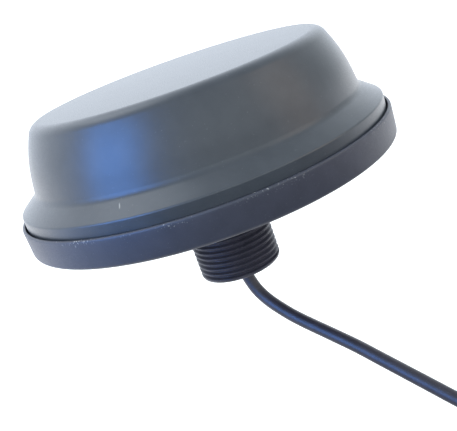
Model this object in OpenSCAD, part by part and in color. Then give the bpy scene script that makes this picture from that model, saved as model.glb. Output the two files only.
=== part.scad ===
// GNSS receiver: a round through-panel receiver with a threaded stub and a coiled data cable.
// Millimetres. +Z is the way the antenna looks. The origin is on the stub's axis, where the stub
// leaves the underside of the base.

/* [Base] */
// Outer radius of the base ring
base_r = 49; // [48.6:0.1:50]
// Height of the base ring
base_h = 7.2; // [6.6:0.1:7.4]
// Thickness of the base's floor
floor_t = 3; // [3:0.1:3.2]

/* [Radome] */
// Outer radius of the radome's lip
lip_r = 47.8; // [47.4:0.05:47.9]
// Height where the lip turns into the flare
lip_z = 9.9; // [9.4:0.1:10.2]
// Radius where the flare meets the leaning side
waist_r = 43; // [42.6:0.1:43.6]
// Height where the flare meets the leaning side
waist_z = 13.4; // [13:0.1:14]
// Radius of the flat top, before its edge is rounded
top_r = 37.8; // [37.4:0.1:38.4]
// Height of the flat top
top_z = 30; // [29.8:0.1:31]
// Rounding of the edge between the side and the flat top
top_edge_r = 3.6; // [2.5:0.1:4]
// How far the leaning side swells out beyond a straight cone
side_swell = 1.2; // [0.8:0.1:1.4]
// Thickness of the radome's wall
wall = 2.4; // [2:0.1:2.6]

/* [Stub] */
// Major radius of the stub's thread
stub_r = 11; // [10.5:0.05:11.3]
// Length of the stub below the base
stub_len = 24.5; // [24:0.5:26]
// Pitch of the stub's thread
stub_pitch = 1.5; // [1:0.25:2]
// Depth of the thread's grooves
stub_groove = 0.8; // [0.5:0.1:0.9]

/* [Boards] */
// Radius of the receiver board
receiver_board_r = 35; // [34:0.5:36]
// Radius of the antenna board
antenna_board_r = 37; // [36:0.5:38]
// Thickness of both boards
board_t = 1.6; // [1.2:0.1:1.6]
// Distance of the spacers from the middle
spacer_at = 31; // [30:0.5:32]
// Height of the hex spacers between the boards
spacer_h = 6; // [5.5:0.1:6]

/* [Antenna] */
// Side of the lower ceramic patch
lower_patch_w = 46; // [40:1:46]
// Side of the upper ceramic patch
upper_patch_w = 30; // [25:1:32]

/* [Cable] */
// Diameter of the cable
cable_d = 3.4; // [3.2:0.1:3.5]
// Radius of the coil's outermost turn, at the middle of the cable
coil_r = 33; // [32.5:0.1:33.5]
// Number of layers of cable in the coil
coil_layers = 6; // [5:1:6]
// Radius of the coil's innermost turn, at the middle of the cable
coil_inner_r = 14.5; // [14:0.5:16]

/* [Connector] */
// Outer radius of the coupling nut
nut_r = 7.4; // [7:0.1:7.6]
// Length of the coupling nut
nut_len = 15; // [14:0.5:16]
// Minor radius of the nut's thread
nut_bore_r = 5.45; // [5.3:0.05:5.6]

/* [Hidden] */
$fn = 96;

cable_r = cable_d / 2;
rim_t = 0.8;                        // the base's thin outer wall
rim_in_r = base_r - rim_t;
skirt_in_r = lip_r - 2.5;           // inside of the radome's skirt
pad_r = 20.5;                       // raised pad in the middle of the floor
pad_z = floor_t + 1;
stub_seat_r = 11.5;                 // the stub's plain shoulder in the base
seat_gap = 0.05;                    // between the shoulder and the base's hole
seal_in_r = skirt_in_r + 0.5;
seal_out_r = lip_r - 0.45;
seal_z = 1.6;                       // bottom of the seal's groove
gasket_in_r = 21.5;
gasket_out_r = 26.5;
gasket_t = 1.2;
boss_at = 41;                       // the radome's screw bosses
boss_r = 3.2;
boss_top = 12;
housing_screw_count = 6;
insert_r = 2.3;
housing_screw_r = 1.45;
flange_r = 19.5;                    // the stub's flange
flange_t = 2.6;
flange_top = pad_z + flange_t;
stub_screw_at = 16.8;
stub_bore_r = 5.5;
stub_mouth_r = 3.6;
stub_mouth_t = 2.5;
grommet_z = -stub_len + stub_mouth_t;
grommet_h = 12.5;
collar_h = 4;
jacket_end_z = -4;                  // where the cable's jacket is stripped
pillar_top = 10;
receiver_top = pillar_top + board_t;
antenna_z = receiver_top + spacer_h;
antenna_top = antenna_z + board_t;
tape_t = 0.3;
lower_patch_h = 3.6;
upper_patch_h = 2.8;
electrode_t = 0.15;
lower_patch_z = antenna_top + tape_t;
upper_patch_z = lower_patch_z + lower_patch_h + electrode_t;
upper_top = upper_patch_z + upper_patch_h;
bench_z = -73;                      // the surface that the coil lies on
coil_at = [84.5, -37.5];
tie_t = 1;
tie_w = 3.6;
coil_z = bench_z + tie_t;
coil_h = coil_layers * cable_d;
connector_at = [coil_at[0] + coil_r, 3, bench_z + nut_r];
header_x = 20.5;
wire_count = 5;
wire_gap = 1.5;

// The cable's route from the stub to the coil, and from the coil to the connector.
lead_route = [
    [0, 0, -22], [0, 0, -23.8], [0.1, -0.1, -25.6], [0.4, -0.4, -27.4], [0.9, -0.9, -29.6],
    [1.6, -1.6, -31.8], [2.7, -2.7, -33.9], [4.2, -4.2, -35.9], [6, -6, -37.7], [8, -8, -39.5],
    [10.5, -10.5, -41.3], [13.5, -13.5, -43.2], [17, -17, -45.4], [21, -21, -48],
    [25, -25, -51], [29, -29, -54], [33, -33, -57], [37.5, -37.5, -60.4],
    [42, -42, -63.6], [46, -46, -66.3], [50, -49.8, -68.4], [53.6, -53.3, -70]
];
tail_route = [
    [117.5, -26.8, -53.5], [117.5, -23.5, -54.2], [117.5, -20, -55.4], [117.5, -16, -57.4],
    [117.5, -12, -59.8], [117.5, -8, -62.2], [117.5, -4, -64.3], [117.5, -1, -65.3],
    [117.5, 1.2, -65.6], [117.5, 3, -65.6]
];

function unit(v) = v / norm(v);
function heading(path, i) = unit(path[min(i + 1, len(path) - 1)] - path[max(i - 1, 0)]);
function carry(path, i, side) =
    i >= len(path) ? [] :
    let (t = heading(path, i), s = unit(side - (side * t) * t))
    concat([s], carry(path, i + 1, s));

// A round tube along a list of points.
module tube(path, r, sides = 8) {
    rings = len(path);
    normals = carry(path, 0, [0.6, 0.7, 0.1]);
    points = [
        for (i = [0 : rings - 1])
            let (t = heading(path, i), a = normals[i], b = cross(t, a))
            for (k = [0 : sides - 1])
                path[i] + r * (cos(360 * k / sides) * a + sin(360 * k / sides) * b)
    ];
    walls = [
        for (i = [0 : rings - 2]) for (k = [0 : sides - 1])
            let (n = (k + 1) % sides, low = i * sides, high = low + sides)
            each [[low + k, high + k, high + n], [low + k, high + n, low + n]]
    ];
    caps = [
        [for (k = [0 : sides - 1]) k],
        [for (k = [sides - 1 : -1 : 0]) (rings - 1) * sides + k]
    ];
    polyhedron(points, concat(walls, caps));
}

// An outline whose corners [radius, height, rounding] are rounded by arcs.
function corner(a, b, c, steps = 6) =
    let (
        u = unit([a[0] - b[0], a[1] - b[1]]),
        v = unit([c[0] - b[0], c[1] - b[1]]),
        half = acos(u * v) / 2,
        reach = b[2] / tan(half),
        mid = unit(u + v),
        centre = [b[0], b[1]] + mid * (b[2] / sin(half)),
        start = [b[0], b[1]] + u * reach - centre,
        end = [b[0], b[1]] + v * reach - centre,
        from = atan2(start[1], start[0]),
        sweep = atan2(end[1], end[0]) - from,
        turn = sweep > 180 ? sweep - 360 : sweep < -180 ? sweep + 360 : sweep
    )
    [for (k = [0 : steps]) centre + b[2] * [cos(from + turn * k / steps), sin(from + turn * k / steps)]];
function rounded(points) = [
    for (i = [0 : len(points) - 1])
        let (b = points[i], a = points[max(i - 1, 0)], c = points[min(i + 1, len(points) - 1)])
        each (b[2] == 0 ? [[b[0], b[1]]] : corner(a, b, c))
];

module ring(outer, inner, z0, z1) {
    rotate_extrude() translate([inner, z0]) square([outer - inner, z1 - z0]);
}

module disc(r, z0, z1) {
    translate([0, 0, z0]) cylinder(r = r, h = z1 - z0);
}

module around(count, at, start = 0) {
    for (k = [0 : count - 1])
        rotate([0, 0, start + 360 * k / count]) translate([at, 0, 0]) children();
}

module block(at, size) {
    translate([at[0] - size[0] / 2, at[1] - size[1] / 2, at[2]]) cube(size);
}

// ---- housing ----

module radome_section() {
    side = [(waist_r + top_r) / 2, (waist_z + top_z) / 2] + side_swell * [0.95, 0.31];
    outer = rounded([
        [lip_r, floor_t, 0], [lip_r, lip_z, 0.6], [waist_r, waist_z, 2.5],
        [side[0], side[1], 38], [top_r, top_z, top_edge_r], [0, top_z, 0]
    ]);
    inner = rounded([
        [0, top_z - wall, 0], [top_r - wall - 0.6, top_z - wall, 1.5],
        [waist_r - wall, waist_z - 0.6, 1.5], [skirt_in_r, lip_z - 1.6, 1], [skirt_in_r, floor_t, 0]
    ]);
    polygon(concat(outer, inner));
}

module radome() {
    color("slategray") difference() {
        union() {
            rotate_extrude() radome_section();
            around(housing_screw_count, boss_at, 30) {
                disc(boss_r, floor_t, boss_top);
                translate([boss_r - 1, -0.8, floor_t]) cube([3, 1.6, boss_top - floor_t - 1.5]);
            }
        }
        around(housing_screw_count, boss_at, 30) {
            disc(insert_r, floor_t - 1, floor_t + 6.5);
            disc(housing_screw_r + 0.1, floor_t - 1, boss_top - 0.6);
        }
    }
}

module base_section() {
    polygon(rounded([
        [stub_seat_r + seat_gap, 0, 0], [gasket_in_r, 0, 0], [gasket_in_r, gasket_t, 0],
        [gasket_out_r, gasket_t, 0], [gasket_out_r, 0, 0], [base_r - 0.2, 0, 0.9],
        [base_r, base_h - 1, 0], [base_r, base_h, 0.5], [rim_in_r, base_h, 0.2],
        [rim_in_r, floor_t, 0], [seal_out_r, floor_t, 0], [seal_out_r, seal_z, 0],
        [seal_in_r, seal_z, 0], [seal_in_r, floor_t, 0], [pad_r, floor_t, 0], [pad_r, pad_z, 0],
        [stub_seat_r + seat_gap, pad_z, 0]
    ]));
}

module base_housing() {
    color("darkslategray") difference() {
        union() {
            rotate_extrude() base_section();
            around(4, spacer_at) disc(3.2, floor_t - 0.5, pillar_top);
        }
        around(4, spacer_at) disc(1.25, floor_t + 1, pillar_top + 1);
        around(4, stub_screw_at, 45) disc(0.8, 1.4, pad_z + 1);
        around(housing_screw_count, boss_at, 30) {
            disc(housing_screw_r + 0.2, -1, floor_t + 1);
            translate([0, 0, -0.01]) cylinder(r1 = 2.95, r2 = housing_screw_r + 0.2, h = 1.5);
        }
    }
}

module radome_seal() {
    color("dimgray") ring(seal_out_r, seal_in_r, seal_z, floor_t);
}

module threaded_inserts() {
    color("goldenrod") around(housing_screw_count, boss_at, 30)
        ring(insert_r, housing_screw_r + 0.05, floor_t + 0.2, floor_t + 6.2);
}

module housing_screws() {
    color("silver") around(housing_screw_count, boss_at, 30) difference() {
        union() {
            cylinder(r1 = 2.85, r2 = housing_screw_r, h = 1.45);
            disc(housing_screw_r, 1, floor_t + 8);
        }
        translate([0, 0, -0.5]) cylinder(r = 1.1, h = 1.4, $fn = 6);
    }
}

module panel_gasket() {
    color("black") ring(gasket_out_r, gasket_in_r, 0, gasket_t);
}

// ---- stub ----

module stub_section() {
    crest = stub_pitch * 0.28;
    teeth = floor((stub_len - 2.2) / stub_pitch);
    thread = [
        for (k = [0 : teeth - 1])
            let (z = -0.6 - k * stub_pitch)
            each [[stub_r, z], [stub_r - stub_groove, z - (stub_pitch - crest) / 2], [stub_r, z - (stub_pitch - crest)]]
    ];
    polygon(concat(
        [
            [stub_bore_r, flange_top], [flange_r, flange_top], [flange_r, pad_z], [14.2, pad_z],
            [14.2, pad_z + 1], [12.6, pad_z + 1], [12.6, pad_z], [stub_seat_r, pad_z],
            [stub_seat_r, 0], [stub_r, 0]
        ],
        thread,
        [
            [stub_r, -stub_len + 1.1], [stub_r - 0.3, -stub_len + 0.3], [stub_r - 1.1, -stub_len],
            [stub_mouth_r, -stub_len], [stub_mouth_r, grommet_z], [stub_bore_r, grommet_z]
        ]
    ));
}

module threaded_stub() {
    color("black") difference() {
        rotate_extrude() stub_section();
        around(4, stub_screw_at, 45) disc(1.1, pad_z - 1, flange_top + 1);
    }
}

module stub_seal() {
    color("dimgray") ring(14.2, 12.6, pad_z, pad_z + 1);
}

module stub_screws() {
    color("silver") around(4, stub_screw_at, 45) {
        disc(1.9, flange_top, flange_top + 1.3);
        disc(0.75, 1.6, flange_top);
    }
}

module cable_grommet() {
    color("dimgray") ring(stub_bore_r, cable_r, grommet_z, grommet_z + grommet_h);
}

module strain_collar() {
    color("goldenrod")
        ring(stub_bore_r - 0.6, cable_r, grommet_z + grommet_h, grommet_z + grommet_h + collar_h);
}

module inner_cable() {
    color("black") disc(cable_r, grommet_z, jacket_end_z);
}

module wires() {
    plug_x = header_x - 4;
    for (k = [0 : wire_count - 1]) {
        y = (k - (wire_count - 1) / 2) * wire_gap;
        a = 72 * k + 18;
        x0 = 1.05 * cos(a);
        y0 = -1.05 * sin(a);
        color(["red", "black", "white", "green", "gold"][k]) tube([
            [x0, y0, jacket_end_z], [x0, y0, jacket_end_z + 3], [x0 * 1.2, y * 0.35 + y0 * 0.5, 3],
            [0.9 + x0, y * 0.6, 5.6], [2.8 + x0, y * 0.8, 7.5], [6, y * 0.95, 8.3],
            [10, y, 8.4], [plug_x, y, 8.4]
        ], 0.45);
    }
}

// ---- boards ----

module wire_plug() {
    color("ivory") block([header_x - 2, 0, 7.1], [4, wire_count * wire_gap + 1.5, 2.6]);
}

module board_header() {
    color("ivory") difference() {
        block([header_x + 2.5, 0, 5.6], [5, wire_count * wire_gap + 4, pillar_top - 5.6]);
        block([header_x + 1, 0, 7], [3, wire_count * wire_gap + 1.6, 2]);
    }
}

module board(r, z) {
    difference() {
        disc(r, z, z + board_t);
        around(4, spacer_at) disc(1.35, z - 1, z + board_t + 1);
    }
}

module receiver_board() {
    color("darkgreen") board(receiver_board_r, pillar_top);
}

module shield_frame() {
    color("lightgray") difference() {
        block([0, 6, receiver_top], [32, 24, 2.4]);
        block([0, 6, receiver_top - 1], [31.4, 23.4, 4]);
    }
}

module shield_lid() {
    color("silver") block([0, 6, receiver_top + 2.4], [32, 24, 0.25]);
}

module gnss_chip() {
    color("black") block([-4, 7, receiver_top], [10, 10, 1]);
}

module support_chips() {
    color("black") {
        block([8, 9, receiver_top], [5, 6, 0.9]);
        block([8, 1, receiver_top], [3.2, 2.5, 0.8]);
        block([-11.5, 0, receiver_top], [3, 3, 0.7]);
        block([-21, -10, receiver_top], [7, 7, 1]);
        block([-9, -17, receiver_top], [5, 6, 1.5]);
        block([0, -17, receiver_top], [5, 6, 1.5]);
        block([9, -14, receiver_top], [4, 4, 2]);
        block([22, 14, receiver_top], [4, 4, 2]);
    }
}

module backup_cell() {
    color("silver") translate([21, -14, 0]) {
        disc(3.4, receiver_top, receiver_top + 1.4);
        disc(2.9, receiver_top + 1.4, receiver_top + 2.1);
    }
}

module board_spacers() {
    color("goldenrod") around(4, spacer_at) difference() {
        union() {
            translate([0, 0, receiver_top]) cylinder(r = 2.9, h = spacer_h, $fn = 6);
            disc(1.2, floor_t + 2, receiver_top);
        }
        disc(1.1, antenna_z - 4, antenna_z + 1);
    }
}

module antenna_board() {
    color("darkgreen") board(antenna_board_r, antenna_z);
}

module board_screws() {
    color("silver") around(4, spacer_at) {
        disc(1.05, antenna_z - 3.5, antenna_top);
        difference() {
            disc(2.2, antenna_top, antenna_top + 1.5);
            block([0, 0, antenna_top + 0.8], [2.8, 0.6, 1]);
            block([0, 0, antenna_top + 0.8], [0.6, 2.8, 1]);
        }
    }
}

module amplifier_shield() {
    color("silver") block([-4, -17, antenna_z - 1.8], [18, 12, 1.8]);
}

module rf_plugs() {
    color("gold") {
        translate([20, 2, 0]) disc(1.5, antenna_z - 2, antenna_z);
        translate([20, -4.5, 0]) disc(1.5, receiver_top, receiver_top + 2);
    }
}

module rf_jumper() {
    color("gray") tube([
        [20, 3.5, antenna_z - 1.1], [20, 5, antenna_z - 1.2], [21.4, 6.3, antenna_z - 1.8],
        [23.2, 5.4, antenna_z - 2.6], [24, 2, antenna_z - 3.4], [24, -3, antenna_z - 4.2],
        [23.2, -7.4, antenna_z - 4.7], [21.4, -8.4, antenna_z - 4.9],
        [20, -7.6, antenna_z - 4.9], [20, -6, antenna_z - 4.9]
    ], 0.55);
}

module patch(w, z, h) {
    difference() {
        block([0, 0, z], [w, w, h]);
        translate([0, 4, 0]) disc(0.6, z - 1, z + h + 1);
        translate([4, 0, 0]) disc(0.6, z - 1, z + h + 1);
    }
}

module patch_tape() {
    color("white") patch(lower_patch_w - 1, antenna_top, tape_t);
}

module lower_patch() {
    color("tan") patch(lower_patch_w, lower_patch_z, lower_patch_h);
}

module lower_electrode() {
    color("silver") patch(lower_patch_w - 7, lower_patch_z + lower_patch_h, electrode_t);
}

module upper_patch() {
    color("tan") patch(upper_patch_w, upper_patch_z, upper_patch_h);
}

module upper_electrode() {
    color("silver") patch(upper_patch_w - 6, upper_top, electrode_t);
}

module feed_pins() {
    color("silver") for (at = [[0, 4], [4, 0]]) translate(at) {
        disc(0.5, antenna_top, upper_top + electrode_t);
        disc(1.1, upper_top + electrode_t, upper_top + electrode_t + 0.4);
    }
}

// ---- cable and connector ----

module cable_lead() {
    color("black") tube(lead_route, cable_r);
}

module coil_section(grow) {
    low = coil_inner_r - cable_r - grow;
    width = coil_r - coil_inner_r + cable_d + 2 * grow;
    height = coil_h + 2 * grow;
    r = cable_r + grow;
    translate([low, -grow]) {
        translate([r, 0]) square([width - 2 * r, height]);
        translate([0, r]) square([width, height - 2 * r]);
        for (x = [r, width - r]) for (y = [r, height - r]) translate([x, y]) circle(r);
    }
}

module cable_coil() {
    color("black") translate([coil_at[0], coil_at[1], coil_z]) rotate_extrude() coil_section(0);
}

module coil_ties() {
    slack = 0.2;
    color("black") translate([coil_at[0], coil_at[1], coil_z])
        for (a = [135, 315]) rotate([0, 0, a]) {
            rotate([90, 0, 0]) linear_extrude(tie_w, center = true) difference() {
                coil_section(tie_t);
                coil_section(slack);
            }
            translate([(coil_r + coil_inner_r) / 2 - 2.5, -2.6, coil_h + tie_t - 0.2])
                cube([5, 5.2, 3.2]);
        }
}

module cable_tail() {
    color("black") tube(tail_route, cable_r);
}

// The connector's parts are drawn along +Z from the cable's end, then laid along +Y.
module laid() {
    translate(connector_at) rotate([-90, 0, 0]) children();
}

nut_from = 31.2;                    // back of the nut, from the cable's end
neck_r = 4.9;
collar_len = 4;
shoulder_from = nut_from + collar_len + 0.3;
insert_from = shoulder_from + 1.3;
insert_r_front = 4.15;

module connector_body() {
    color("dimgray") laid() difference() {
        union() {
            rotate_extrude() polygon([
                [0, 0], [2.7, 0], [4.2, 14], [5.3, 16.5], [6, 18], [6, 28], [5.4, 31],
                [neck_r, 31], [neck_r, shoulder_from], [5.3, shoulder_from],
                [5.3, insert_from], [0, insert_from]
            ]);
        }
        for (z = [3.5 : 2.6 : 12]) rotate_extrude() translate([2.55 + z * 0.1, z]) square([3, 1.1]);
        around(8, 6.6) disc(1, 19.5, 27);
    }
}

module coupling_nut() {
    flute_r = 0.7;
    color("silver") laid() difference() {
        translate([0, 0, nut_from]) linear_extrude(nut_len) difference() {
            circle(nut_r);
            around(20, nut_r + 0.25) circle(flute_r, $fn = 24);
        }
        disc(neck_r + 0.07, nut_from - 1, nut_from + collar_len + 0.2);
        disc(nut_bore_r, nut_from + collar_len, nut_from + nut_len + 1);
    }
}

module contact_insert() {
    top = nut_from + nut_len - 1.5;
    color("black") laid() difference() {
        disc(insert_r_front, insert_from, top);
        around(4, 2.4, 45) disc(0.75, top - 6.5, top + 1);
        disc(0.75, top - 6.5, top + 1);
        translate([insert_r_front, 0, 0]) disc(0.6, top - 6, top + 1);
    }
}

module contact_sockets() {
    top = nut_from + nut_len - 1.9;
    color("gold") laid() {
        around(4, 2.4, 45) ring(0.75, 0.5, top - 6.1, top);
        ring(0.75, 0.5, top - 6.1, top);
    }
}

module connector_seal() {
    color("dimgray") laid() ring(5.3, insert_r_front, insert_from, insert_from + 1.4);
}

radome();
base_housing();
threaded_stub();
radome_seal();
threaded_inserts();
housing_screws();
stub_seal();
stub_screws();
panel_gasket();
cable_grommet();
strain_collar();
inner_cable();
wires();
wire_plug();
board_header();
receiver_board();
shield_frame();
shield_lid();
gnss_chip();
support_chips();
backup_cell();
board_spacers();
antenna_board();
board_screws();
amplifier_shield();
rf_plugs();
rf_jumper();
patch_tape();
lower_patch();
lower_electrode();
upper_patch();
upper_electrode();
feed_pins();
cable_lead();
cable_coil();
coil_ties();
cable_tail();
connector_body();
coupling_nut();
contact_insert();
contact_sockets();
connector_seal();
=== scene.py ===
"""The looks of the GNSS receiver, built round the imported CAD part: smooth housing, helical stub,
cable with its coil, knurled connector, and a procedural material for every piece."""

import math

import bmesh
import bpy
from mathutils import Matrix, Vector


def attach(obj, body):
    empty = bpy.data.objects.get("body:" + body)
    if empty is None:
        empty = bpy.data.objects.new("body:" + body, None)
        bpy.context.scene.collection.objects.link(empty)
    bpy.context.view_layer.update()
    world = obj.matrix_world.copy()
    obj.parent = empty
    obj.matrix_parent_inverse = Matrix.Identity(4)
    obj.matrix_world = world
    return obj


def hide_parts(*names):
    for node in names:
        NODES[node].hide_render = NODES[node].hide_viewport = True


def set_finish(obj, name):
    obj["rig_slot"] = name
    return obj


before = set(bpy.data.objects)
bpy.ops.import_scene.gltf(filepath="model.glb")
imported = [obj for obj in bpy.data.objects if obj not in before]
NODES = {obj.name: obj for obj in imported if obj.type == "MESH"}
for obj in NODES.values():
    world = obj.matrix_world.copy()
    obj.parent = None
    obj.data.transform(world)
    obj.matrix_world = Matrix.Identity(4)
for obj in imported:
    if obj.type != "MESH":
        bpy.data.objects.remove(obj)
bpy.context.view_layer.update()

MM = 0.001
TURN = 2 * math.pi
RECEIVER = "receiver"
NUT = "nut"


# ---------------------------------------------------------------- camera

# The camera looks slightly down at the receiver, and is rolled so that the receiver leans to the left.
VIEW_DOWN = math.radians(17.03)
VIEW_ROLL = math.radians(19.46)
CAMERA_AT = Vector((1.04, -194.42, 49.37)) * MM
LENS = 60.4
SENSOR = 36
NEAREST = 5 * MM
FARTHEST = 20


def make_camera():
    right = Vector((1, 0, 0))
    up = Vector((0, math.sin(VIEW_DOWN), math.cos(VIEW_DOWN)))
    ahead = Vector((0, math.cos(VIEW_DOWN), -math.sin(VIEW_DOWN)))
    x = math.cos(VIEW_ROLL) * right - math.sin(VIEW_ROLL) * up
    y = math.sin(VIEW_ROLL) * right + math.cos(VIEW_ROLL) * up
    data = bpy.data.cameras.new("camera")
    data.lens = LENS
    data.sensor_width = SENSOR
    data.clip_start = NEAREST
    data.clip_end = FARTHEST
    camera = bpy.data.objects.new("camera", data)
    bpy.context.scene.collection.objects.link(camera)
    turned = Matrix((x, y, -ahead)).transposed().to_4x4()
    camera.matrix_world = Matrix.Translation(CAMERA_AT) @ turned
    bpy.context.scene.camera = camera


make_camera()


# ---------------------------------------------------------------- mesh helpers

def add(name, data, body, slot, *replaced):
    """Links a new piece, lets it ride on its body and stand for its CAD nodes."""
    piece = bpy.data.objects.new(name, data)
    bpy.context.scene.collection.objects.link(piece)
    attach(piece, body)
    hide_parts(*replaced)
    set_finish(piece, slot)
    return piece


def finish_mesh(name, bm, sharp=35):
    """A mesh from a bmesh: normals out, smooth shading with sharp edges over an angle in degrees."""
    bmesh.ops.recalc_face_normals(bm, faces=bm.faces)
    for face in bm.faces:
        face.smooth = True
    for edge in bm.edges:
        if len(edge.link_faces) == 2 and edge.calc_face_angle() > math.radians(sharp):
            edge.smooth = False
    mesh = bpy.data.meshes.new(name)
    bm.to_mesh(mesh)
    bm.free()
    return mesh


def lathe(bm, rows, segments, place=Matrix.Identity(4)):
    """Turns rows of (radius, height) in millimetres about Z. A radius may be a function of the angle.
    The last row is joined to the first, unless they lie on the axis. Two rows on the axis, one after
    the other, leave the skins before and after them apart."""
    rings = []
    for radius, z in rows:
        if not callable(radius) and radius < 1e-6:
            rings.append([bm.verts.new(place @ Vector((0, 0, z * MM)))])
            continue
        ring = []
        for k in range(segments):
            a = TURN * k / segments
            r = radius(a) if callable(radius) else radius
            ring.append(bm.verts.new(place @ (Vector((r * math.cos(a), r * math.sin(a), z)) * MM)))
        rings.append(ring)
    pairs = list(zip(rings, rings[1:]))
    if len(rings[0]) > 1:
        pairs.append((rings[-1], rings[0]))
    for low, high in pairs:
        for k in range(segments):
            n = (k + 1) % segments
            if len(low) == 1 and len(high) == 1:
                continue
            if len(low) == 1:
                bm.faces.new((low[0], high[n], high[k]))
            elif len(high) == 1:
                bm.faces.new((low[k], low[n], high[0]))
            else:
                bm.faces.new((low[k], low[n], high[n], high[k]))


def corner(a, b, c, radius, steps):
    """The arc that rounds corner b between points a and c."""
    a, b, c = Vector(a), Vector(b), Vector(c)
    u, v = (a - b).normalized(), (c - b).normalized()
    half = u.angle(v) / 2
    mid = (u + v).normalized()
    centre = b + mid * (radius / math.sin(half))
    start = b + u * (radius / math.tan(half)) - centre
    end = b + v * (radius / math.tan(half)) - centre
    turn = start.angle_signed(end)
    return [
        centre + Matrix.Rotation(-turn * k / steps, 2) @ start
        for k in range(steps + 1)
    ]


def rounded(points, steps=8):
    """An outline of (radius, height, rounding) with its corners rounded by arcs."""
    outline = []
    for i, (r, z, rounding) in enumerate(points):
        if rounding == 0:
            outline.append((r, z))
            continue
        before, after = points[i - 1], points[(i + 1) % len(points)]
        arc = corner(before[:2], (r, z), after[:2], rounding, steps)
        outline.extend((p.x, p.y) for p in arc)
    return outline


def spaced(start, end, count):
    """Count values from start up to but without end."""
    return [start + (end - start) * k / count for k in range(count)]


def smooth_step(x, low, high):
    t = min(1.0, max(0.0, (x - low) / (high - low)))
    return t * t * (3 - 2 * t)


# ---------------------------------------------------------------- cable

CABLE_D = 3.4
CABLE_SIDES = 14
CABLE_STEP = 2.2                    # spacing of the rings along the cable, in millimetres
COIL_AT = Vector((84.5, -37.5))
COIL_OUT = 33
COIL_IN = 14.5
COIL_LOW = -70.3
COIL_LAYERS = 6
COIL_START = math.radians(225)      # where the lead meets the lowest layer's outer turn
COIL_TURNS = 31.375                 # whole layers, ending at angle 0 on the top layer's outer turn
POINTS_PER_TURN = 24
CLIMB = 0.12                        # share of a layer over which the cable climbs to the next one
JOG_FROM = 0.6                      # share of a turn that stays round before it steps to the next turn
CONNECTOR_AT = Vector((117.5, 3, -65.6))

# The route from the stub to the coil and from the coil to the connector, in millimetres.
LEAD_ROUTE = [
    (0, 0, -22), (0, 0, -23.8), (0.1, -0.1, -25.6), (0.4, -0.4, -27.4), (0.9, -0.9, -29.6),
    (1.6, -1.6, -31.8), (2.7, -2.7, -33.9), (4.2, -4.2, -35.9), (6, -6, -37.7), (8, -8, -39.5),
    (10.5, -10.5, -41.3), (13.5, -13.5, -43.2), (17, -17, -45.4), (21, -21, -48),
    (25, -25, -51), (29, -29, -54), (33, -33, -57), (37.5, -37.5, -60.4),
    (42, -42, -63.6), (46, -46, -66.3), (50, -49.8, -68.4), (53.6, -53.3, -70),
]
TAIL_ROUTE = [
    (117.5, -32, -53.4), (117.5, -26.8, -53.5), (117.5, -23.5, -54.2), (117.5, -20, -55.4),
    (117.5, -16, -57.4), (117.5, -12, -59.8), (117.5, -8, -62.2), (117.5, -4, -64.3),
    (117.5, -1, -65.3), (117.5, 1.2, -65.6), (117.5, 3, -65.6),
]


def coil_route():
    """The coil's turns: in to the middle on one layer, out again on the next, and so on."""
    per_layer = COIL_TURNS / COIL_LAYERS
    steps = round(COIL_TURNS * POINTS_PER_TURN)
    route = []
    for k in range(steps + 1):
        turns = COIL_TURNS * k / steps
        layers = turns / per_layer
        whole = min(int(layers), COIL_LAYERS - 1)
        across = layers - whole
        turns_in = per_layer * (across if whole % 2 == 0 else 1 - across)
        step = int(turns_in) + smooth_step(turns_in % 1, JOG_FROM, 1)
        radius = COIL_OUT - (COIL_OUT - COIL_IN) / per_layer * step
        nearest = round(layers)
        climbed = smooth_step(layers, nearest - CLIMB / 2, nearest + CLIMB / 2)
        level = nearest - 1 + climbed if 0 < nearest < COIL_LAYERS else whole
        angle = COIL_START + TURN * turns
        route.append((
            COIL_AT.x + radius * math.cos(angle),
            COIL_AT.y + radius * math.sin(angle),
            COIL_LOW + CABLE_D * level,
        ))
    return route


def smooth_path(route, spacing):
    """Points about spacing apart on the smooth curve through a route, all in millimetres."""
    route = [Vector(p) for p in route]
    path = []
    for i in range(len(route) - 1):
        a, b = route[i], route[i + 1]
        before, after = route[max(i - 1, 0)], route[min(i + 2, len(route) - 1)]
        span = (b - a).length
        leave = span * ((b - before).normalized() if i else (b - a).normalized())
        arrive = span * (after - a).normalized()
        steps = math.ceil(span / spacing)
        for k in range(steps):
            t = k / steps
            path.append(
                a * (2 * t**3 - 3 * t**2 + 1) + leave * (t**3 - 2 * t**2 + t)
                + b * (3 * t**2 - 2 * t**3) + arrive * (t**3 - t**2)
            )
    path.append(route[-1])
    return path


def tube(bm, path, radius, sides):
    """A round tube with closed ends along a path in millimetres."""
    side = Vector((0.6, 0.7, 0.1))
    rings = []
    for i, point in enumerate(path):
        ahead = (path[min(i + 1, len(path) - 1)] - path[max(i - 1, 0)]).normalized()
        side = (side - ahead * side.dot(ahead)).normalized()
        across = ahead.cross(side)
        rings.append([
            bm.verts.new((point + radius * (side * math.cos(a) + across * math.sin(a))) * MM)
            for a in spaced(0, TURN, sides)
        ])
    for low, high in zip(rings, rings[1:]):
        for k in range(sides):
            n = (k + 1) % sides
            bm.faces.new((low[k], low[n], high[n], high[k]))
    bm.faces.new(rings[0][::-1])
    bm.faces.new(rings[-1])


def make_cable():
    path = smooth_path(LEAD_ROUTE + coil_route() + TAIL_ROUTE, CABLE_STEP)
    bm = bmesh.new()
    tube(bm, path, CABLE_D / 2, CABLE_SIDES)
    piece = add(
        "receiver_cable", finish_mesh("receiver_cable", bm, 50), RECEIVER, "cable_jacket",
        "cable_lead", "cable_coil", "cable_tail",
    )
    return piece, [point * MM for point in path]


cable, cable_path = make_cable()


# ---------------------------------------------------------------- ties round the coil

TIE_ANGLES = (135, 315)
TIE_T = 0.8
TIE_GAP = 0.2
TIE_W = 3.6
TIE_EDGE = 0.25
BUCKLE = (5, 5.2, 3.1)              # size of a tie's head along the strap, across it and in height


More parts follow.
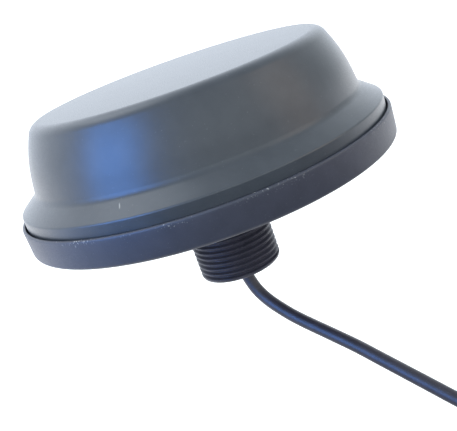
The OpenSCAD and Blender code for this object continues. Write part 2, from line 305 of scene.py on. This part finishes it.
def swept_loop(bm, path, normals, profile, place):
    """A closed loop: the profile of (out, across) is carried along a flat path in the XZ plane."""
    rings = []
    for point, normal in zip(path, normals):
        rings.append([
            bm.verts.new(place @ ((point + normal * out + Vector((0, across, 0))) * MM))
            for out, across in profile
        ])
    for i, ring in enumerate(rings):
        after = rings[(i + 1) % len(rings)]
        for k in range(len(ring)):
            n = (k + 1) % len(ring)
            bm.faces.new((ring[k], ring[n], after[n], after[k]))


def bevelled_box(bm, low, high, bevel, place):
    """A box between two corners in millimetres, with rounded edges."""
    made = bmesh.ops.create_cube(bm, size=1)["verts"]
    low, high = Vector(low), Vector(high)
    for v in made:
        v.co = place @ (Vector([(c + 0.5) * (b - a) + a for c, a, b in zip(v.co, low, high)]) * MM)
    edges = {e for v in made for e in v.link_edges}
    bmesh.ops.bevel(
        bm, geom=list(edges), offset=bevel * MM, segments=3, profile=0.5, affect="EDGES"
    )


def tie_path(steps=8):
    """The strap's inner line round the coil's section, with the directions out of it."""
    low = COIL_IN - CABLE_D / 2
    high = COIL_OUT + CABLE_D / 2
    bottom = COIL_LOW - CABLE_D / 2
    top = bottom + CABLE_D * COIL_LAYERS
    r = CABLE_D / 2
    turns = (
        (high - r, bottom + r, -90), (high - r, top - r, 0),
        (low + r, top - r, 90), (low + r, bottom + r, 180),
    )
    path, normals = [], []
    for x, z, start in turns:
        for k in range(steps + 1):
            a = math.radians(start + 90 * k / steps)
            normal = Vector((math.cos(a), 0, math.sin(a)))
            path.append(Vector((x, 0, z)) + normal * (r + TIE_GAP))
            normals.append(normal)
    return path, normals, top


def make_ties():
    bm = bmesh.new()
    path, normals, top = tie_path()
    edge = TIE_EDGE
    half = TIE_W / 2
    profile = [
        (0, -half + edge), (edge, -half), (TIE_T - edge, -half), (TIE_T, -half + edge),
        (TIE_T, half - edge), (TIE_T - edge, half), (edge, half), (0, half - edge),
    ]
    middle = (COIL_IN + COIL_OUT) / 2
    seat = top + TIE_GAP + TIE_T - 0.2
    long, wide, tall = BUCKLE
    for angle in TIE_ANGLES:
        place = Matrix.Translation((COIL_AT.x * MM, COIL_AT.y * MM, 0))
        place @= Matrix.Rotation(math.radians(angle), 4, "Z")
        swept_loop(bm, path, normals, profile, place)
        low, high = (middle - long / 2, -wide / 2, seat), (middle + long / 2, wide / 2, seat + tall)
        bevelled_box(bm, low, high, 0.5, place)
        low, high = (middle + 0.4, -half + 0.2, seat + 2), (middle + 1.3, half - 0.2, seat + tall + 0.1)
        bevelled_box(bm, low, high, 0.15, place)
    return add("cable_ties", finish_mesh("cable_ties", bm), RECEIVER, "tie_nylon", "coil_ties")


ties = make_ties()


# ---------------------------------------------------------------- connector

# The connector's parts are drawn along +Z from the cable's end, then laid along +Y.
LAID = Matrix.Translation(CONNECTOR_AT * MM) @ Matrix.Rotation(math.radians(-90), 4, "X")
NUT_FROM = 31.2
NUT_LEN = 15
NUT_R = 7.4
NUT_BORE_R = 5.45
COLLAR_LEN = 4
NECK_R = 4.9
SHOULDER_FROM = NUT_FROM + COLLAR_LEN + 0.3
SHOULDER_R = 5.3
INSERT_FROM = SHOULDER_FROM + 1.3
RELIEF_LEN = 14
RELIEF_RINGS = 4
GRIP_R = 6
GRIP_FLUTES = 8
GRIP_FLUTE_DEPTH = 0.42
NUT_RUN = 0.07                      # clearance of the nut on the neck
NUT_RIDGES = 40
RIDGE_DEPTH = 0.45


def relief_radius(z):
    """The strain relief: a cone with rings that let it bend."""
    cone = 2.7 + 1.5 * z / RELIEF_LEN
    ring_at = [3.5 + 2.6 * k for k in range(RELIEF_RINGS)]
    depth = max(1 - smooth_step(abs(z - at - 0.55), 0.35, 0.65) for at in ring_at)
    floor = 2.55 + 0.1 * z
    return cone + (min(floor, cone) - cone) * depth


def grip_radius(z):
    """The grip between the strain relief and the neck, with scooped flutes."""
    scoop = smooth_step(z, 19, 20.5) * (1 - smooth_step(z, 26, 27.5))

    def radius(a):
        wave = math.cos(GRIP_FLUTES * a)
        return GRIP_R - GRIP_FLUTE_DEPTH * scoop * smooth_step(wave, 0.45, 0.95)

    return radius


def make_connector_body():
    rows = [(0, 0), (2.2, 0), (2.55, 0.12), (2.7, 0.4)]
    rows += [(relief_radius(z), z) for z in spaced(0.6, RELIEF_LEN, 90)]
    rows += [(4.2, RELIEF_LEN), (4.75, 15.2), (5.3, 16.5), (5.8, 17.4), (GRIP_R, 18)]
    rows += [(grip_radius(z), z) for z in spaced(18.6, 28, 36)]
    rows += [(GRIP_R, 28), (5.85, 29), (5.4, 31), (NECK_R + 0.1, 31.05), (NECK_R, 31.1)]
    rows += [(NECK_R, SHOULDER_FROM), (SHOULDER_R - 0.05, SHOULDER_FROM)]
    rows += [(SHOULDER_R, SHOULDER_FROM + 0.06), (SHOULDER_R, INSERT_FROM), (0, INSERT_FROM)]
    bm = bmesh.new()
    lathe(bm, rows, 128, LAID)
    return add(
        "connector_shell", finish_mesh("connector_shell", bm), RECEIVER, "connector_plastic",
        "connector_body",
    )


def knurled(share):
    """The nut's outer radius, with a share of the depth of its fine ridges."""
    def radius(a):
        return NUT_R - RIDGE_DEPTH * share * (0.5 - 0.5 * math.cos(NUT_RIDGES * a)) ** 0.7

    return radius


def nut_thread(z):
    """The nut's inner thread, one millimetre of pitch, running out at both ends."""
    start, end = NUT_FROM + COLLAR_LEN + 1, NUT_FROM + NUT_LEN - 0.4
    fade = smooth_step(z, start, start + 1) * (1 - smooth_step(z, end - 0.5, end))

    def radius(a):
        phase = (z - a / TURN) % 1
        return NUT_BORE_R + 0.45 * fade * smooth_step(1 - abs(2 * phase - 1), 0.15, 0.85)

    return radius


def make_nut():
    front = NUT_FROM + NUT_LEN
    collar_end = NUT_FROM + COLLAR_LEN + 0.2
    back = [(6.5, 0), (6.65, 0.05), (6.95, 0.35), (7.25, 0.65), (7.25, 1.4), (6.95, 1.55), (6.95, 2)]
    rim = [(6.95, 1.3), (6.95, 1.1), (7.2, 0.95), (7.2, 0.5), (6.75, 0), (5.95, 0), (5.7, 0.25)]
    rows = [(NECK_R + NUT_RUN, NUT_FROM)]
    rows += [(r, NUT_FROM + z) for r, z in back]
    rows += [(knurled(smooth_step(k, 0, 2)), NUT_FROM + 2.2 + 0.2 * k) for k in range(3)]
    rows += [(knurled(1), z) for z in spaced(NUT_FROM + 3, front - 2.2, 8)]
    rows += [(knurled(smooth_step(k, 0, 2)), front - 2 - 0.2 * k) for k in range(3)]
    rows += [(r, front - z) for r, z in rim]
    rows += [(NUT_BORE_R, front - 0.4)]
    rows += [(nut_thread(z), z) for z in spaced(front - 0.45, collar_end + 0.4, 90)]
    rows += [(NUT_BORE_R, collar_end), (NECK_R + NUT_RUN, collar_end)]
    bm = bmesh.new()
    lathe(bm, rows, 240, LAID)
    return add("nut_knurled", finish_mesh("nut_knurled", bm, 50), NUT, "nickel_brass", "coupling_nut")


connector_shell = make_connector_body()
nut = make_nut()


# ---------------------------------------------------------------- housing

BASE_R = 49
BASE_H = 7.2
FLOOR_T = 3
LIP_R = 47.8
LIP_Z = 9.9
WAIST = (43, 13.4)
TOP_R = 37.8
TOP_Z = 30
TOP_EDGE_R = 3.6
LIP_EDGE_R = 0.6
WAIST_ROUNDING = 2.5
SIDE_SWELL = 1.2
SWELL_ROUNDING = 38
WALL = 2.4
RIM_T = 0.8
SEAT_R = 11.5                       # radius of the stub's seat in the base
PAD_R = 20.5
PAD_Z = 4
GASKET_IN = 21.5
GASKET_OUT = 26.5
GASKET_DEPTH = 1.2
SEAL_Z = 1.6                        # bottom of the seal's groove under the radome
SCREW_AT = 41
SCREW_COUNT = 6
SCREW_HEAD_R = 2.95
SCREW_HEAD_H = 1.49
SCREW_HOLE_R = 1.65


def radome_rows():
    """The shell's outline: up its outer side to the axis, then from the axis down its inner side."""
    swell_r = (WAIST[0] + TOP_R) / 2 + SIDE_SWELL * 0.95
    swell_z = (WAIST[1] + TOP_Z) / 2 + SIDE_SWELL * 0.31
    outer = rounded([
        (LIP_R, FLOOR_T, 0), (LIP_R, LIP_Z, LIP_EDGE_R), (*WAIST, WAIST_ROUNDING),
        (swell_r, swell_z, SWELL_ROUNDING), (TOP_R, TOP_Z, TOP_EDGE_R), (0, TOP_Z, 0),
    ], 16)
    skirt = LIP_R - 2.5
    inner = rounded([
        (0, TOP_Z - WALL, 0), (TOP_R - WALL - 0.6, TOP_Z - WALL, 1.5),
        (WAIST[0] - WALL, WAIST[1] - 0.6, 1.5), (skirt, LIP_Z - 1.6, 1), (skirt, FLOOR_T, 0),
    ])
    return outer + inner


def make_radome():
    bm = bmesh.new()
    lathe(bm, radome_rows(), 240)
    return add("radome_shell", finish_mesh("radome_shell", bm), RECEIVER, "radome_plastic", "radome")


radome = make_radome()


def base_rows():
    """The base's outline: along its underside, up the ring, down inside it and along the floor."""
    rim = BASE_R - RIM_T
    seal_out, seal_in = LIP_R - 0.45, LIP_R - 2
    seat = SEAT_R + 0.05
    return rounded([
        (seat, 0, 0), (GASKET_IN, 0, 0), (GASKET_IN, GASKET_DEPTH, 0), (GASKET_OUT, GASKET_DEPTH, 0),
        (GASKET_OUT, 0, 0), (BASE_R - 0.2, 0, 0.9), (BASE_R, BASE_H - 1, 0), (BASE_R, BASE_H, 0.5),
        (rim, BASE_H, 0.2), (rim, FLOOR_T, 0), (seal_out, FLOOR_T, 0), (seal_out, SEAL_Z, 0),
        (seal_in, SEAL_Z, 0), (seal_in, FLOOR_T, 0), (PAD_R, FLOOR_T, 0), (PAD_R, PAD_Z, 0),
        (seat, PAD_Z, 0),
    ], 6)


def cut_holes(piece, cutter_bm):
    """Cuts the cutter's closed solids out of the piece and keeps the result as its mesh."""
    cutter = bpy.data.objects.new("cutter", finish_mesh("cutter", cutter_bm))
    bpy.context.scene.collection.objects.link(cutter)
    modifier = piece.modifiers.new("holes", "BOOLEAN")
    modifier.operation = "DIFFERENCE"
    modifier.solver = "EXACT"
    modifier.object = cutter
    bpy.context.view_layer.update()
    evaluated = piece.evaluated_get(bpy.context.evaluated_depsgraph_get())
    mesh = bpy.data.meshes.new_from_object(evaluated)
    piece.modifiers.clear()
    piece.data = mesh
    bpy.data.objects.remove(cutter)


def make_base():
    bm = bmesh.new()
    lathe(bm, base_rows(), 240)
    base = add("base_shell", finish_mesh("base_shell", bm), RECEIVER, "base_plastic", "base_housing")
    holes = bmesh.new()
    hole = [
        (0, -1), (SCREW_HEAD_R, -1), (SCREW_HEAD_R, 0), (SCREW_HOLE_R, SCREW_HEAD_H), (SCREW_HOLE_R, 5),
        (0, 5),
    ]
    for k in range(SCREW_COUNT):
        a = math.radians(30) + TURN * k / SCREW_COUNT
        place = Matrix.Translation((SCREW_AT * MM * math.cos(a), SCREW_AT * MM * math.sin(a), 0))
        lathe(holes, hole, 48, place)
    cut_holes(base, holes)
    return base


base = make_base()


# ---------------------------------------------------------------- stub

STUB_R = 11
STUB_LEN = 24.5
STUB_PITCH = 1.5
STUB_GROOVE = 0.8
STUB_BORE_R = 5.5
STUB_MOUTH_R = 3.6
MOUTH_T = 2.5
FLANGE_R = 19.5
FLANGE_TOP = 6.6
RING_OUT = 14.2                     # groove for the O-ring under the flange
RING_IN = 12.6


def stub_thread(z):
    """The stub's radius at a height: one helical groove that runs out under the base."""
    fade = smooth_step(-z, 0.3, 1.2) * (1 - smooth_step(-z, STUB_LEN - 1.4, STUB_LEN - 0.9))

    def radius(a):
        phase = (z / STUB_PITCH + a / TURN) % 1
        flank = abs(2 * phase - 1)
        return STUB_R - STUB_GROOVE * fade * (1 - smooth_step(flank, 0.12, 0.86))

    return radius


def make_stub():
    rows = [
        (STUB_BORE_R, FLANGE_TOP), (FLANGE_R - 0.2, FLANGE_TOP), (FLANGE_R, FLANGE_TOP - 0.2),
        (FLANGE_R, PAD_Z), (RING_OUT, PAD_Z), (RING_OUT, PAD_Z + 1), (RING_IN, PAD_Z + 1),
        (RING_IN, PAD_Z), (SEAT_R, PAD_Z), (SEAT_R, 0), (STUB_R, 0),
    ]
    rows += [(stub_thread(z), z) for z in spaced(-0.1, -STUB_LEN + 1.1, 280)]
    tip = [(0, 1.1), (0.08, 0.8), (0.3, 0.35), (0.6, 0.12), (1.1, 0)]
    rows += [(STUB_R - depth, -STUB_LEN + z) for depth, z in tip]
    rows += [(STUB_MOUTH_R + 0.25, -STUB_LEN), (STUB_MOUTH_R, -STUB_LEN + 0.25)]
    rows += [(STUB_MOUTH_R, -STUB_LEN + MOUTH_T), (STUB_BORE_R, -STUB_LEN + MOUTH_T)]
    bm = bmesh.new()
    lathe(bm, rows, 160)
    return add(
        "stub_helix", finish_mesh("stub_helix", bm, 50), RECEIVER, "stub_plastic", "threaded_stub")


stub = make_stub()


# ---------------------------------------------------------------- materials

def linear(*srgb):
    """A colour given as 0 to 255 display values, as linear light."""
    def one(v):
        v /= 255
        return v / 12.92 if v <= 0.04045 else ((v + 0.055) / 1.055) ** 2.4

    return (*map(one, srgb), 1)


def ranged(tree, value, start, end, low, high, kind="SMOOTHSTEP"):
    """A value taken smoothly from low to high while it runs from start to end."""
    made = tree.nodes.new("ShaderNodeMapRange")
    made.interpolation_type = kind
    for socket, number in zip(("From Min", "From Max", "To Min", "To Max"), (start, end, low, high)):
        made.inputs[socket].default_value = number
    tree.links.new(value, made.inputs["Value"])
    return made.outputs["Result"]


def maths(tree, operation, *values):
    """A math node on outputs and plain numbers."""
    made = tree.nodes.new("ShaderNodeMath")
    made.operation = operation
    for socket, value in zip(made.inputs, values):
        if isinstance(value, (int, float)):
            socket.default_value = value
        else:
            tree.links.new(value, socket)
    return made.outputs["Value"]


class Surface:
    """A procedural material: mottled colour, uneven roughness and a fine bump, in object space."""

    def __init__(self, name, dark, light, roughness, *, spread=0.06, mottle=4.0, grain=0.25,
                 bump=0.03, metallic=0.0, ior=1.5, streaks=(1, 1, 1)):
        self.material = bpy.data.materials.new(name)
        self.material.use_nodes = True
        self.tree = self.material.node_tree
        self.links = self.tree.links
        self.shader = self.tree.nodes["Principled BSDF"]
        self.shader.inputs["Metallic"].default_value = metallic
        self.shader.inputs["IOR"].default_value = ior
        self.where = self.node("ShaderNodeTexCoord").outputs["Object"]
        split = self.node("ShaderNodeSeparateXYZ")
        self.links.new(self.where, split.inputs["Vector"])
        self.x, self.y, self.z = split.outputs
        self.colour = self.mix(self.spread(self.noise(mottle, 4), 0, 1), linear(*dark), linear(*light))
        self.plug(self.colour, "Base Color")
        fine = self.noise(grain, 2, streaks)
        self.plug(self.spread(fine, roughness - spread, roughness + spread), "Roughness")
        relief = self.node("ShaderNodeBump")
        relief.inputs["Strength"].default_value = 1
        relief.inputs["Distance"].default_value = bump * MM
        self.links.new(fine, relief.inputs["Height"])
        self.plug(relief.outputs["Normal"], "Normal")

    def node(self, kind):
        return self.tree.nodes.new(kind)

    def plug(self, output, name):
        self.links.new(output, self.shader.inputs[name])

    def scaled(self, factors):
        """The position with each axis scaled."""
        made = self.node("ShaderNodeVectorMath")
        made.operation = "MULTIPLY"
        made.inputs[1].default_value = factors
        self.links.new(self.where, made.inputs[0])
        return made.outputs["Vector"]

    def noise(self, size, detail, streaks=(1, 1, 1)):
        """Noise whose features are about size millimetres across."""
        made = self.node("ShaderNodeTexNoise")
        made.inputs["Scale"].default_value = 1 / (size * MM)
        made.inputs["Detail"].default_value = detail
        self.links.new(self.scaled(streaks), made.inputs["Vector"])
        return made.outputs["Fac"]

    def cells(self, size):
        """The distance to the middles of random cells about size millimetres across."""
        made = self.node("ShaderNodeTexVoronoi")
        made.inputs["Scale"].default_value = 1 / (size * MM)
        self.links.new(self.where, made.inputs["Vector"])
        return made.outputs["Distance"]

    def waves(self, along, pitch):
        """Even waves along X or Y, pitch millimetres apart."""
        turns = maths(self.tree, "MULTIPLY", along, TURN / (pitch * MM))
        return maths(self.tree, "SINE", turns)

    def spread(self, value, low, high, start=0.3, end=0.7):
        """A value taken evenly from low to high while it runs from start to end."""
        return ranged(self.tree, value, start, end, low, high, "LINEAR")

    def mix(self, factor, a, b):
        """Two colours, each an output or a plain colour, mixed by a factor."""
        made = self.node("ShaderNodeMix")
        made.data_type = "RGBA"
        self.links.new(factor, made.inputs["Factor"])
        for socket, value in ((made.inputs[6], a), (made.inputs[7], b)):
            if isinstance(value, tuple):
                socket.default_value = value
            else:
                self.links.new(value, socket)
        return made.outputs[2]

    def both(self, *masks):
        """The product of masks."""
        whole = masks[0]
        for mask in masks[1:]:
            whole = maths(self.tree, "MULTIPLY", whole, mask)
        return whole

    def lay(self, mask, *colour):
        """Lays another colour over the surface where the mask is 1."""
        self.colour = self.mix(mask, self.colour, linear(*colour))
        self.plug(self.colour, "Base Color")


SCRATCH_AT = Vector((-19.5, -40.4, 12)) * MM


def radome_plastic():
    """Satin shell with faint dust and one short scratch on the flare."""
    made = Surface("radome_plastic", (58, 64, 74), (64, 70, 80), 0.36, grain=0.3, bump=0.006)
    made.lay(made.spread(made.noise(0.5, 1), 0, 0.12, 0.74, 0.78), 150, 156, 166)
    aside = maths(made.tree, "SUBTRACT", made.x, SCRATCH_AT.x)
    above = maths(made.tree, "SUBTRACT", made.z, SCRATCH_AT.z)
    lean = maths(made.tree, "MULTIPLY", above, -0.3)
    off = maths(made.tree, "ABSOLUTE", maths(made.tree, "ADD", aside, lean))
    high = maths(made.tree, "ABSOLUTE", above)
    line = ranged(made.tree, off, 0.05 * MM, 0.2 * MM, 1, 0)
    stretch = ranged(made.tree, high, 0.1 * MM, 0.6 * MM, 1, 0)
    front = ranged(made.tree, made.y, -36 * MM, -37 * MM, 0, 0.5)
    made.lay(made.both(line, stretch, front), 190, 192, 196)
    return made.material


def base_plastic():
    """Moulded ring with knocks and pale scuffs on its top edge, and a painted highlight along its lower
    edge.
    """
    made = Surface("base_plastic", (54, 57, 72), (60, 63, 79), 0.5, grain=0.35, bump=0.012)
    scuffs = made.spread(made.noise(0.45, 2), 0, 1, 0.62, 0.7)
    patches = made.spread(made.noise(9, 2), 0, 0.8, 0.45, 0.62)
    rim = ranged(made.tree, made.z, 5.4 * MM, 6.9 * MM, 0, 1)
    made.lay(made.both(scuffs, patches, rim), 190, 194, 200)
    # Painted highlight: an even lighter band round the ring's rounded lower edge stands in for the floor's
    # light caught there.
    painted_foot_highlight = ranged(made.tree, made.z, 0.9 * MM, 0.3 * MM, 0, 0.5)
    made.lay(painted_foot_highlight, 104, 107, 116)
    made.lay(made.spread(made.noise(0.5, 1, (1, 1, 2.5)), 0, 0.14, 0.72, 0.77), 150, 154, 162)
    return made.material


BLACK = (0, 0, 0, 1)
WHITE = (1, 1, 1, 1)
TRACK_PITCH = 1.3


def circuit_board():
    """Solder mask with tracks in both directions under it, and tinned pads."""
    made = Surface("circuit_board", (14, 62, 36), (20, 74, 44), 0.35, grain=0.5, bump=0.02)
    choose = made.spread(made.noise(7, 0), 0, 1, 0.49, 0.51)
    across = made.spread(made.waves(made.x, TRACK_PITCH), 0, 1, 0.75, 0.85)
    down = made.spread(made.waves(made.y, TRACK_PITCH), 0, 1, 0.75, 0.85)
    tracks = made.mix(choose, made.mix(across, BLACK, WHITE), made.mix(down, BLACK, WHITE))
    made.lay(made.spread(tracks, 0, 0.8, 0, 1), 34, 106, 62)
    made.lay(made.spread(made.cells(2.6), 1, 0, 0.11, 0.14), 206, 204, 196)
    return made.material


# Where each core after the red one starts across the plug, in millimetres, and its colour.
CORES = (
    (-2.25, (28, 28, 30)), (-0.75, (214, 212, 204)), (0.75, (36, 120, 60)), (2.25, (214, 178, 40)),
)


def wire_insulation():
    """A colour for each core by its place in the plug, and a grey jumper."""
    made = Surface("wire_insulation", (158, 30, 28), (170, 36, 32), 0.4, grain=0.3, bump=0.008)
    for start, colour in CORES:
        made.lay(ranged(made.tree, made.y, (start - 0.1) * MM, (start + 0.1) * MM, 0, 1), *colour)
    made.lay(ranged(made.tree, made.x, 18.6 * MM, 18.8 * MM, 0, 1), 92, 94, 98)
    return made.material


def nickel_brass():
    """Bright plating, a little worn and brassy on the ridges, with dull patches."""
    made = Surface(
        "nickel_brass", (142, 139, 132), (168, 165, 158), 0.26,
        metallic=1, grain=0.2, streaks=(1, 0.2, 1), bump=0.008,
    )
    made.lay(made.spread(made.noise(2.5, 2), 0, 0.5, 0.56, 0.7), 150, 136, 104)
    return made.material


def speckled(name, dark, light, roughness, fleck, amount, **other):
    """A surface with small flecks of another colour."""
    made = Surface(name, dark, light, roughness, **other)
    made.lay(made.spread(made.noise(0.3, 1), 0, amount, 0.64, 0.72), *fleck)
    return made.material


# Each of these is a darker and a lighter colour, a roughness, the flecks' colour and amount, and the rest.
SPECKLED = {
    "stub_plastic": (
        (54, 54, 66), (64, 63, 76), 0.42, (110, 112, 120), 0.4, {"grain": 0.2, "bump": 0.006, "ior": 1.3}),
    "seal_rubber": ((20, 20, 22), (30, 30, 33), 0.7, (70, 70, 72), 0.4, {"grain": 0.15, "bump": 0.02}),
    "cable_jacket": ((34, 33, 46), (44, 43, 60), 0.47, (92, 94, 104), 0.3, {"grain": 0.4, "bump": 0.012}),
    "ivory_nylon": ((212, 203, 182), (224, 217, 198), 0.45, (180, 168, 140), 0.3, {"bump": 0.01}),
    "chip_epoxy": ((22, 22, 24), (32, 32, 34), 0.5, (60, 60, 62), 0.5, {"grain": 0.1, "bump": 0.01}),
    "adhesive_tape": (
        (222, 218, 208), (238, 235, 228), 0.6, (200, 194, 180), 0.5, {"grain": 0.4, "bump": 0.02}),
    "ceramic": (
        (192, 170, 136), (210, 190, 158), 0.55, (150, 124, 92), 0.5, {"grain": 0.2, "bump": 0.015}),
    "tie_nylon": ((24, 24, 26), (32, 32, 35), 0.42, (70, 70, 74), 0.3, {"grain": 0.3, "bump": 0.008}),
    "connector_plastic": (
        (26, 27, 30), (36, 37, 40), 0.45, (84, 86, 90), 0.3, {"grain": 0.25, "bump": 0.015}),
    "insert_plastic": ((30, 30, 32), (40, 40, 43), 0.4, (74, 74, 78), 0.3, {"bump": 0.01}),
}

# Each of these is a darker and a lighter colour, a roughness and the rest.
BRUSHED = {"metallic": 1, "streaks": (0.08, 1, 1), "grain": 0.15, "bump": 0.01}
METALS = {
    "brass": ((186, 144, 74), (206, 170, 100), 0.3, BRUSHED),
    "steel": ((168, 170, 174), (192, 194, 198), 0.28, BRUSHED),
    "tinned_steel": ((180, 182, 184), (206, 208, 210), 0.27, BRUSHED),
    "silver_layer": (
        (192, 190, 182), (220, 218, 212), 0.38, {"metallic": 1, "mottle": 2.5, "grain": 0.2, "bump": 0.012}),
    "gold_contact": (
        (208, 164, 80), (228, 190, 108), 0.22, {"metallic": 1, "mottle": 1, "grain": 0.1, "bump": 0.005}),
}

MATERIALS = {
    "radome_plastic": radome_plastic(),
    "base_plastic": base_plastic(),
    "wire_insulation": wire_insulation(),
    "circuit_board": circuit_board(),
    "nickel_brass": nickel_brass(),
}
for name, (*look, other) in SPECKLED.items():
    MATERIALS[name] = speckled(name, *look, **other)
for name, (*look, other) in METALS.items():
    MATERIALS[name] = Surface(name, *look, **other).material


def dress(piece, slot):
    piece.data.materials.clear()
    piece.data.materials.append(MATERIALS[slot])


for piece in (cable, ties, connector_shell, nut, radome, base, stub):
    dress(piece, piece["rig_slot"])
for node in NODES.values():
    for slot in node.material_slots:
        slot.material = MATERIALS[slot.material.name.split(".")[0]]


# ---------------------------------------------------------------- floor and light

FLOOR_Z = -73 * MM
FLOOR_R = 6
PAPER = (0.9, 0.9, 0.9, 1)
PAPER_GLOW = 0.45


def make_floor():
    """White paper to the camera. To every other ray it is a glow that fades and turns bluer towards
    the front left, which the object mirrors. Seen from below it is clear."""
    bm = bmesh.new()
    bmesh.ops.create_circle(bm, cap_ends=True, radius=FLOOR_R, segments=96)
    for v in bm.verts:
        v.co.z = FLOOR_Z
    mesh = bpy.data.meshes.new("floor")
    bm.to_mesh(mesh)
    bm.free()
    floor = bpy.data.objects.new("floor", mesh)
    bpy.context.scene.collection.objects.link(floor)
    material = bpy.data.materials.new("floor")
    material.use_nodes = True
    tree = material.node_tree
    nodes, links = tree.nodes, tree.links
    nodes.remove(nodes["Principled BSDF"])
    paper = nodes.new("ShaderNodeBsdfDiffuse")
    paper.inputs["Color"].default_value = PAPER
    glow = nodes.new("ShaderNodeEmission")
    glow.inputs["Strength"].default_value = PAPER_GLOW
    lit = nodes.new("ShaderNodeAddShader")
    dim = nodes.new("ShaderNodeEmission")
    where = nodes.new("ShaderNodeTexCoord")
    split = nodes.new("ShaderNodeSeparateXYZ")
    links.new(where.outputs["Object"], split.inputs["Vector"])
    to_left = maths(tree, "MULTIPLY", split.outputs["X"], -0.3)
    to_right = maths(tree, "MULTIPLY", split.outputs["X"], 0.08)
    depth = maths(tree, "ADD", maths(tree, "MAXIMUM", to_left, to_right), split.outputs["Y"])
    links.new(ranged(tree, depth, -0.17, 0.18, 0.15, 2.35), dim.inputs["Strength"])
    tint = nodes.new("ShaderNodeMix")
    tint.data_type = "RGBA"
    tint.inputs[6].default_value = (0.93, 0.96, 1, 1)
    tint.inputs[7].default_value = (0.7, 0.88, 1.3, 1)
    leftness = ranged(tree, split.outputs["X"], -0.05, -0.22, 0, 1)
    frontness = ranged(tree, split.outputs["Y"], 0.14, 0, 0, 1)
    links.new(maths(tree, "MULTIPLY", leftness, frontness), tint.inputs["Factor"])
    links.new(tint.outputs[2], dim.inputs["Color"])
    ray = nodes.new("ShaderNodeLightPath")
    above = nodes.new("ShaderNodeMixShader")
    links.new(paper.outputs["BSDF"], lit.inputs[0])
    links.new(glow.outputs["Emission"], lit.inputs[1])
    links.new(ray.outputs["Is Camera Ray"], above.inputs["Fac"])
    links.new(dim.outputs["Emission"], above.inputs[1])
    links.new(lit.outputs["Shader"], above.inputs[2])
    clear = nodes.new("ShaderNodeBsdfTransparent")
    side = nodes.new("ShaderNodeNewGeometry")
    mixed = nodes.new("ShaderNodeMixShader")
    links.new(side.outputs["Backfacing"], mixed.inputs["Fac"])
    links.new(above.outputs["Shader"], mixed.inputs[1])
    links.new(clear.outputs["BSDF"], mixed.inputs[2])
    links.new(mixed.outputs["Shader"], nodes["Material Output"].inputs["Surface"])
    mesh.materials.append(material)


def make_world():
    """Soft white surroundings, brighter behind the object, and plain white to the camera itself."""
    world = bpy.data.worlds.new("surroundings")
    bpy.context.scene.world = world
    world.use_nodes = True
    tree = world.node_tree
    nodes, links = tree.nodes, tree.links
    nodes.clear()
    where = nodes.new("ShaderNodeTexCoord")
    split = nodes.new("ShaderNodeSeparateXYZ")
    links.new(where.outputs["Generated"], split.inputs["Vector"])
    to_right = maths(tree, "MAXIMUM", split.outputs["X"], 0)
    depth = maths(tree, "MULTIPLY_ADD", to_right, -0.5, split.outputs["Y"])
    backness = ranged(tree, depth, -0.05, 0.8, 0, 1)
    front = nodes.new("ShaderNodeBackground")
    front.inputs["Color"].default_value = (0.91, 0.98, 0.99, 1)
    height = ranged(tree, split.outputs["Z"], 0.3, 0.95, 1.75, 0.9)
    shade = ranged(tree, to_right, 0.55, 1, 1, 0.5)
    links.new(maths(tree, "MULTIPLY", height, shade), front.inputs["Strength"])
    back = nodes.new("ShaderNodeBackground")
    back.inputs["Color"].default_value = (0.84, 0.91, 1, 1)
    back.inputs["Strength"].default_value = 2.4
    soft = nodes.new("ShaderNodeMixShader")
    links.new(backness, soft.inputs["Fac"])
    links.new(front.outputs["Background"], soft.inputs[1])
    links.new(back.outputs["Background"], soft.inputs[2])
    plain = nodes.new("ShaderNodeBackground")
    plain.inputs["Color"].default_value = (1, 1, 1, 1)
    plain.inputs["Strength"].default_value = 1.2
    ray = nodes.new("ShaderNodeLightPath")
    mixed = nodes.new("ShaderNodeMixShader")
    links.new(ray.outputs["Is Camera Ray"], mixed.inputs["Fac"])
    links.new(soft.outputs["Shader"], mixed.inputs[1])
    links.new(plain.outputs["Background"], mixed.inputs[2])
    out = nodes.new("ShaderNodeOutputWorld")
    links.new(mixed.outputs["Shader"], out.inputs["Surface"])


LIT_POINT = Vector((0, 0, 0.01))


def make_card(name, at, size, power, colour):
    """A glowing card that faces the receiver. It shows in reflections and lights nothing else."""
    data = bpy.data.lights.new(name, "AREA")
    data.shape = "RECTANGLE"
    data.size, data.size_y = size
    data.energy = power
    data.color = colour
    card = bpy.data.objects.new(name, data)
    bpy.context.scene.collection.objects.link(card)
    at = Vector(at)
    card.location = at
    card.rotation_mode = "QUATERNION"
    card.rotation_quaternion = (LIT_POINT - at).to_track_quat("-Z", "Y")
    card.visible_diffuse = False


make_floor()
make_world()
make_card("blue_card", (-0.56, -0.37, 0.23), (0.46, 0.56), 8.2, (0.04, 0.29, 1.0))
make_card("high_card", (-0.36, 0.13, 0.84), (0.5, 0.5), 2.4, (0.85, 0.92, 1.0))
make_card("warm_card", (0.6, -0.24, 0.22), (0.36, 0.56), 0.85, (1.0, 0.72, 0.5))
bpy.context.scene.view_settings.view_transform = "Standard"

bpy.context.view_layer.update()
